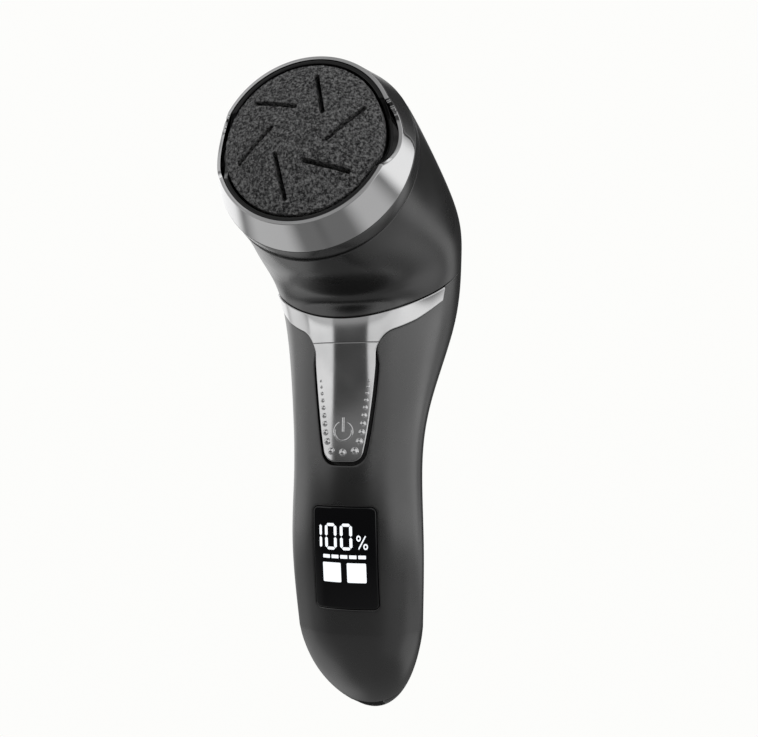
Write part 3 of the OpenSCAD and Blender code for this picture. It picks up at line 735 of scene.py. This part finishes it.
def on_front(x, z):
    """Point of the body's front and its outward direction at a place on the front view."""
    u = np.full(1, 3.0)
    v = np.full(1, 1.5 * math.pi)
    for _ in range(12):
        p = body(u, v)[0]
        step = 1e-3
        du = (body(u + step, v)[0] - p) / step
        dv = (body(u, v + step)[0] - p) / step
        change = np.linalg.solve([[du[0], dv[0]], [du[2], dv[2]]], [x - p[0], z - p[2]])
        u = u + change[0]
        v = v + change[1]
    return body(u, v)[0], normals(body, u, v, 1)[0]


def dome_stud(centre, out, r, rise):
    """Rings of one polished stud: a collar and a dome, open underneath into the button."""
    side = np.cross(out, [0, 0, 1])
    side /= np.linalg.norm(side)
    up = np.cross(side, out)
    profile = [(r * 1.12, -0.3), (r * 1.12, 0.02), (r * 1.05, 0.07), (r * 0.96, 0.09)]
    profile += [(r * 0.95 * math.cos(a), 0.09 + rise * math.sin(a)) for a in np.linspace(0.15, 1.45, 7)]
    around = 20
    verts = []
    for radius, h in profile:
        for k in range(around):
            a = 2 * math.pi * k / around
            verts.append(centre + radius * (math.cos(a) * side + math.sin(a) * up) + h * out)
    tip = len(verts)
    verts.append(centre + (0.09 + rise) * out)
    verts.append(centre - 0.3 * out)
    faces = []
    for j in range(len(profile) - 1):
        for k in range(around):
            a = j * around + k
            b = j * around + (k + 1) % around
            faces.append([a, b, b + around, a + around])
    top = (len(profile) - 1) * around
    faces += [[top + k, top + (k + 1) % around, tip] for k in range(around)]
    faces += [[(k + 1) % around, k, tip + 1] for k in range(around)]
    return verts, faces


def studs():
    """Two rows of studs that grow downwards and close round the button's foot."""
    places = [(0.0, 71.6, 0.9)]
    for k in range(10):
        turn = max(0, k - 7)
        drop = 1.5 * k + 0.052 * k * k
        z = 89.7 - drop
        x = 6.35 - 0.12 * drop - 0.28 * turn * turn
        r = 0.33 + 0.065 * k
        places += [(x, z, r), (-x, z, r)]
    verts = []
    faces = []
    for x, z, r in places:
        point, out = on_front(x, z)
        some, cells = dome_stud(point + 0.3 * out, out, r, r * 0.85)
        faces += [[i + len(verts) for i in c] for c in cells]
        verts += some
    obj = new_object("button_studs", verts, faces, 50)
    finish_piece(obj, "bead_chrome", "button", "button_beads")


def tube_on_front(path, r, flat):
    """Rounded bead of material along a path on the button's face."""
    points = [on_front(x, z) for x, z in path]
    sides = 10
    verts = []
    for k, (p, out) in enumerate(points):
        before = points[max(k - 1, 0)][0]
        after = points[min(k + 1, len(points) - 1)][0]
        ahead = (after - before) / np.linalg.norm(after - before)
        across = np.cross(ahead, out)
        for j in range(sides):
            a = 2 * math.pi * j / sides
            verts.append(p + 0.3 * out + r * math.cos(a) * across + flat * math.sin(a) * out)
    faces = []
    for k in range(len(points) - 1):
        for j in range(sides):
            a = k * sides + j
            b = k * sides + (j + 1) % sides
            faces.append([a, b, b + sides, a + sides])
    last = (len(points) - 1) * sides
    for start, turn in ((0, -1), (last, 1)):
        faces.append([start + j for j in range(sides)][::turn])
    return verts, faces


def icon():
    """Generic standby mark: an open ring and a bar."""
    centre_z = 76.9
    arc = [(2.35 * math.sin(a), centre_z + 2.35 * math.cos(a)) for a in
           np.radians(np.linspace(24, 336, 40))]
    bar = [(0, centre_z + 3.5 - 3.6 * t) for t in np.linspace(0, 1, 8)]
    verts = []
    faces = []
    for path in (arc, bar):
        some, cells = tube_on_front(path, 0.34, 0.16)
        faces += [[i + len(verts) for i in c] for c in cells]
        verts += some
    obj = new_object("standby_mark", verts, faces, 60)
    finish_piece(obj, "icon_print", "button", "power_icon")


def figure_bars(p, left, low, bars):
    """Seven-segment figure with mitred bars; left and low place its lower left corner."""
    w, h, t = 3.3, 6.8, 0.42
    x = p[..., 0] - left
    z = p[..., 2] - low
    mid = h / 2
    ends = {
        "a": ((t, h - t), (w - t, h - t)), "d": ((t, t), (w - t, t)),
        "b": ((w - t, mid), (w - t, h - t)), "c": ((w - t, t), (w - t, mid)),
        "e": ((t, t), (t, mid)), "f": ((t, mid), (t, h - t)),
    }
    far = np.full(x.shape, 1e3)
    for bar in bars:
        (ax, az), (bx, bz) = ends[bar]
        length = math.hypot(bx - ax, bz - az)
        ux, uz = (bx - ax) / length, (bz - az) / length
        along = (x - ax) * ux + (z - az) * uz
        across = np.abs((x - ax) * uz - (z - az) * ux)
        past = np.maximum(-along, along - length) + 0.1
        far = np.minimum(far, np.maximum(across - t * 0.9, past + across))
    return far


def percent(p):
    x = p[..., 0]
    z = p[..., 2]
    dots = np.minimum(
        np.abs(np.hypot((x - 3.95) / 0.85, (z - 50.2) / 1.15) - 0.5) - 0.17,
        np.abs(np.hypot((x - 5.65) / 0.85, (z - 48.1) / 1.15) - 0.5) - 0.17,
    )
    lean = np.radians(28)
    along = (x - 4.8) * math.sin(lean) + (z - 49.15) * math.cos(lean)
    across = np.abs((x - 4.8) * math.cos(lean) - (z - 49.15) * math.sin(lean))
    return np.minimum(dots, np.maximum(across - 0.16, np.abs(along) - 1.9))


def lit_shapes(p):
    """The charge figure, its level bars and the two mode squares."""
    far = figure_bars(p, -9.1, FIGURE_LOW, "bc")
    far = np.minimum(far, figure_bars(p, -5.0, FIGURE_LOW, "abcdef"))
    far = np.minimum(far, figure_bars(p, -0.9, FIGURE_LOW, "abcdef"))
    far = np.minimum(far, percent(p))
    for k in range(5):
        far = np.minimum(far, rounded_box(p[..., 0] + 4.7 - 2.35 * k, p[..., 2] - 45.45, 0.95, 0.45, 0.1))
    for x in (-3.35, 3.15):
        far = np.minimum(far, rounded_box(p[..., 0] - x, p[..., 2] - 41.4, 2.45, 2.5, 0.3))
    return np.maximum(far, front_side(p))


def display():
    middle = np.linspace(math.pi * 1.32, math.pi * 1.68, 90)
    obj = patch("display_lens", body, np.linspace(0.2, 1.8, 120), middle, window, 1.2, 0.3,
                lift=lambda p: np.full(len(p), 0.08))
    finish_piece(obj, "window_black", "handle", "display_window")
    narrow = np.linspace(math.pi * 1.38, math.pi * 1.62, 240)
    obj = patch("lit_segments", body, np.linspace(0.55, 1.45, 330), narrow, lit_shapes, 0.3, 0.01,
                lift=lambda p: np.full(len(p), 0.1))
    finish_piece(obj, "display_light", "handle", "display_segments")


def ring_pieces():
    turn = np.arange(420) * 2 * math.pi / 420
    heights = np.linspace(-0.3, RING_H + 0.3, 130)
    obj = patch("chrome_band", ring_cone, heights, turn, chrome_band, 0.8, 0.14, closed=True)
    finish_piece(obj, "bright_chrome", "ring", "chrome_ring")
    obj = patch("ring_hood_skin", ring_cone, heights, turn, hood_band, 0.8, 0.1, closed=True)
    finish_piece(obj, "ring_dark", "ring", "ring_hood")
    inner = PAD_R + 0.55
    outer = RING_LIP_R - 0.88
    profile = [(21.3, -4, False), (21.3, -2.6, False), (20.7, -2.6, False), (20.7, -1.8, False),
               (21.3, -1.8, False), (21.3, -0.02, False), (23.35, -0.02, False),
               (23.35 - 0.3875 * 4, 4, False)]
    profile += [(outer, RING_H - 0.35, True)]
    profile += list(corner_arc(outer - 0.12, RING_H - 0.3, 0.12, 0, 90, True, 3))
    profile += list(corner_arc(inner + 0.15, RING_H - 0.33, 0.15, 90, 180, True, 3))
    profile += [(inner, RING_H - 2.2, True), (inner + 0.35, 2.4, False), (inner + 0.35, -4, False)]
    obj = turned("ring_liner_tube", profile, lip_height, 360)
    finish_piece(obj, "liner_black", "ring", "ring_liner")
    top = -0.06
    profile = list(corner_arc(24.08, top - 0.25, 0.25, 90, 0))
    profile += list(corner_arc(24.3, -SEAT_H + 0.1, 0.06, 0, -90, steps=3))
    profile += [(22.2, -SEAT_H + 0.04, False), (22.2, -12, False), (21.4, -12, False), (21.4, top, False)]
    obj = turned("seat_collar", profile)
    finish_piece(obj, "ring_dark", "handle", "ring_seat")


def grinding_pad():
    span = np.linspace(-PAD_R - 0.2, PAD_R + 0.2, 210)
    obj = patch("grit_pad", pad_dome, span, span, pad_outline, 1.0, 0.15, flip=-1, smooth_angle=80)
    coarse = rock(SEED, (256, 256), 1)
    fine = rock(SEED + 1, (512, 512), 0)
    flat = np.zeros(len(obj.data.vertices) * 3)
    obj.data.vertices.foreach_get("co", flat)
    p = flat.reshape(-1, 3) / MM
    x = p[:, 0] + 25
    y = across_head(p) + 25
    lump = coarse[(x / 0.22).astype(int) % 256, (y / 0.22).astype(int) % 256]
    grain = fine[(x / 0.19).astype(int) % 512, (y / 0.19).astype(int) % 512]
    rise = np.where(along_head(p) > PAD_LOW + 0.4, 0.05 * lump + 0.035 * grain - 0.08, 0)
    obj.data.vertices.foreach_set("co", ((p + rise[:, None] * HEAD_OUT) * MM).reshape(-1))
    obj.data.update()
    finish_piece(obj, "grit", "pad", "abrasive_pad")


def carried_nodes():
    """Every CAD node that is still shown gets its slot's procedural material."""
    slots = {s["node"]: s["material_slot"] for s in frame["record"]["subparts"]}
    for name, obj in frame["nodes"].items():
        obj.data.materials.clear()
        obj.data.materials.append(MATERIALS[slots[name]])


# ------------------------------------------------------------------ studio

def pale_floor():
    """Plain pale floor, just below the object, seen by the camera only."""
    mesh = bpy.data.meshes.new("floor")
    half = 4.0
    level = -0.002
    corners = [(-half, -half, level), (half, -half, level), (half, half, level), (-half, half, level)]
    mesh.from_pydata(corners, [], [(0, 1, 2, 3)])
    obj = bpy.data.objects.new("floor", mesh)
    bpy.context.scene.collection.objects.link(obj)
    s = Shader("floor_pale")
    s.link("Base Color", (0, 0, 0, 1))
    s.link("Specular IOR Level", 0.0)
    s.link("Emission Color", s.blend(s.noise(3.0), (1.0, 1.0, 0.985), (0.998, 0.998, 0.983)))
    s.link("Emission Strength", 0.98)
    mesh.materials.append(s.material)
    obj.visible_glossy = False
    obj.visible_diffuse = False
    obj.visible_shadow = False


class Sky:
    """World shader of soft panels of light placed by direction; the brightest panel counts."""

    def __init__(self):
        world = bpy.data.worlds.new("studio")
        world.use_nodes = True
        bpy.context.scene.world = world
        self.tree = world.node_tree
        self.tree.nodes.clear()
        facing = self.tree.nodes.new("ShaderNodeTexCoord").outputs["Generated"]
        split = self.tree.nodes.new("ShaderNodeSeparateXYZ")
        self.tree.links.new(facing, split.inputs[0])
        x, y, z = split.outputs
        self.azimuth = self.math("DEGREES", self.math("ARCTAN2", x, self.math("MULTIPLY", y, -1.0)))
        self.elevation = self.math("DEGREES", self.math("ARCSINE", z))
        self.total = None

    def math(self, kind, a, b=None):
        made = self.tree.nodes.new("ShaderNodeMath")
        made.operation = kind
        for socket, value in zip(made.inputs, (a, b)):
            if value is None:
                continue
            if isinstance(value, bpy.types.NodeSocket):
                self.tree.links.new(value, socket)
            else:
                socket.default_value = value
        return made.outputs[0]

    def edge(self, value, start, end):
        """Smooth step that is 0 before start and 1 after end (or the other way round)."""
        made = self.tree.nodes.new("ShaderNodeMapRange")
        made.interpolation_type = "SMOOTHSTEP"
        self.tree.links.new(value, made.inputs["Value"])
        if start < end:
            bounds = (start, end, 0.0, 1.0)
        else:
            bounds = (end, start, 1.0, 0.0)
        for name, number in zip(("From Min", "From Max", "To Min", "To Max"), bounds):
            made.inputs[name].default_value = number
        return made.outputs["Result"]

    def panel(self, strength, azimuths, elevations):
        """Puts a light between two azimuths and two elevations, each given with its soft margin."""
        (a0, a1, soft_a), (e0, e1, soft_e) = azimuths, elevations
        parts = [
            self.edge(self.azimuth, a0 - soft_a, a0 + soft_a),
            self.edge(self.azimuth, a1 + soft_a, a1 - soft_a),
            self.edge(self.elevation, e0 - soft_e, e0 + soft_e),
            self.edge(self.elevation, e1 + soft_e, e1 - soft_e),
        ]
        value = self.math("MULTIPLY", self.math("MULTIPLY", parts[0], parts[1]),
                          self.math("MULTIPLY", parts[2], parts[3]))
        value = self.math("MULTIPLY", value, strength)
        self.total = value if self.total is None else self.math("MAXIMUM", self.total, value)

    def finish(self, base):
        light = self.tree.nodes.new("ShaderNodeBackground")
        self.tree.links.new(self.math("ADD", self.total, base), light.inputs["Strength"])
        light.inputs["Color"].default_value = (1, 1, 1, 1)
        white = self.tree.nodes.new("ShaderNodeBackground")
        white.inputs["Color"].default_value = (1.0, 1.0, 0.985, 1)
        white.inputs["Strength"].default_value = 0.98
        seen = self.tree.nodes.new("ShaderNodeLightPath").outputs["Is Camera Ray"]
        mix = self.tree.nodes.new("ShaderNodeMixShader")
        self.tree.links.new(seen, mix.inputs[0])
        self.tree.links.new(light.outputs[0], mix.inputs[1])
        self.tree.links.new(white.outputs[0], mix.inputs[2])
        out = self.tree.nodes.new("ShaderNodeOutputWorld")
        self.tree.links.new(mix.outputs[0], out.inputs["Surface"])


def studio():
    """Soft studio: azimuth 0 is the front (-Y), 90 is +X, 180 is behind; numbers are degrees."""
    sky = Sky()
    # white backdrop far to the left, and bright walls to the left and the right
    sky.panel(1.05, (-172, -116, 10), (-12, 90, 8))
    sky.panel(0.85, (-116, -70, 12), (-13, 6.5, 7))
    sky.panel(0.95, (40, 128, 11), (-14, 5.5, 7))
    sky.panel(1.05, (100, 128, 7), (-14, 90, 7))
    sky.panel(0.6, (120, 156, 9), (-17, -3, 4))
    # grey upper part of the room
    sky.panel(0.54, (-104, -33, 2), (6.5, 90, 1.5))
    sky.panel(0.54, (13, 101, 2), (6.5, 90, 1.5))
    sky.panel(0.29, (-34, 14, 2), (6.5, 90, 2.0))
    # two low softboxes either side of the dark front
    sky.panel(0.98, (-72, -33, 1.5), (0.5, 6.5, 2))
    sky.panel(0.85, (14, 50, 1.5), (0.5, 6.5, 2))
    # pale floor below, darker in front and straight down
    sky.panel(0.52, (-150, -76, 14), (-66, -18, 12))
    sky.panel(0.22, (-90, -52, 12), (-66, -18, 10))
    sky.panel(0.22, (26, 80, 12), (-66, -18, 10))
    sky.panel(0.5, (72, 146, 16), (-60, -20, 12))
    sky.panel(0.13, (-180, 180, 1), (-90, -26, 8))
    sky.finish(0.055)


def camera():
    """Looks at the object from its right, nearly level, as in the reference view."""
    azimuth = math.radians(16.43)
    elevation = math.radians(-1.46)
    roll = math.radians(-0.43)
    place = (0.07313, -0.22794, 0.08695)
    back = np.array([math.sin(azimuth) * math.cos(elevation), -math.cos(azimuth) * math.cos(elevation),
                     math.sin(elevation)])
    right = np.array([math.cos(azimuth), math.sin(azimuth), 0])
    up = np.cross(back, right)
    right, up = right * math.cos(roll) + up * math.sin(roll), up * math.cos(roll) - right * math.sin(roll)
    matrix = Matrix.Identity(4)
    for row in range(3):
        matrix[row][0] = right[row]
        matrix[row][1] = up[row]
        matrix[row][2] = back[row]
        matrix[row][3] = place[row]
    data = bpy.data.cameras.new("camera")
    data.sensor_width = 36
    data.lens = 42.74
    data.clip_start = 0.01
    obj = bpy.data.objects.new("camera", data)
    obj.matrix_world = matrix
    bpy.context.scene.collection.objects.link(obj)
    bpy.context.scene.camera = obj
    bpy.context.scene.view_settings.view_transform = "Standard"


MATERIALS = make_materials()
carried_nodes()
casings()
trim_pieces()
studs()
icon()
display()
ring_pieces()
grinding_pad()
pale_floor()
studio()
camera()
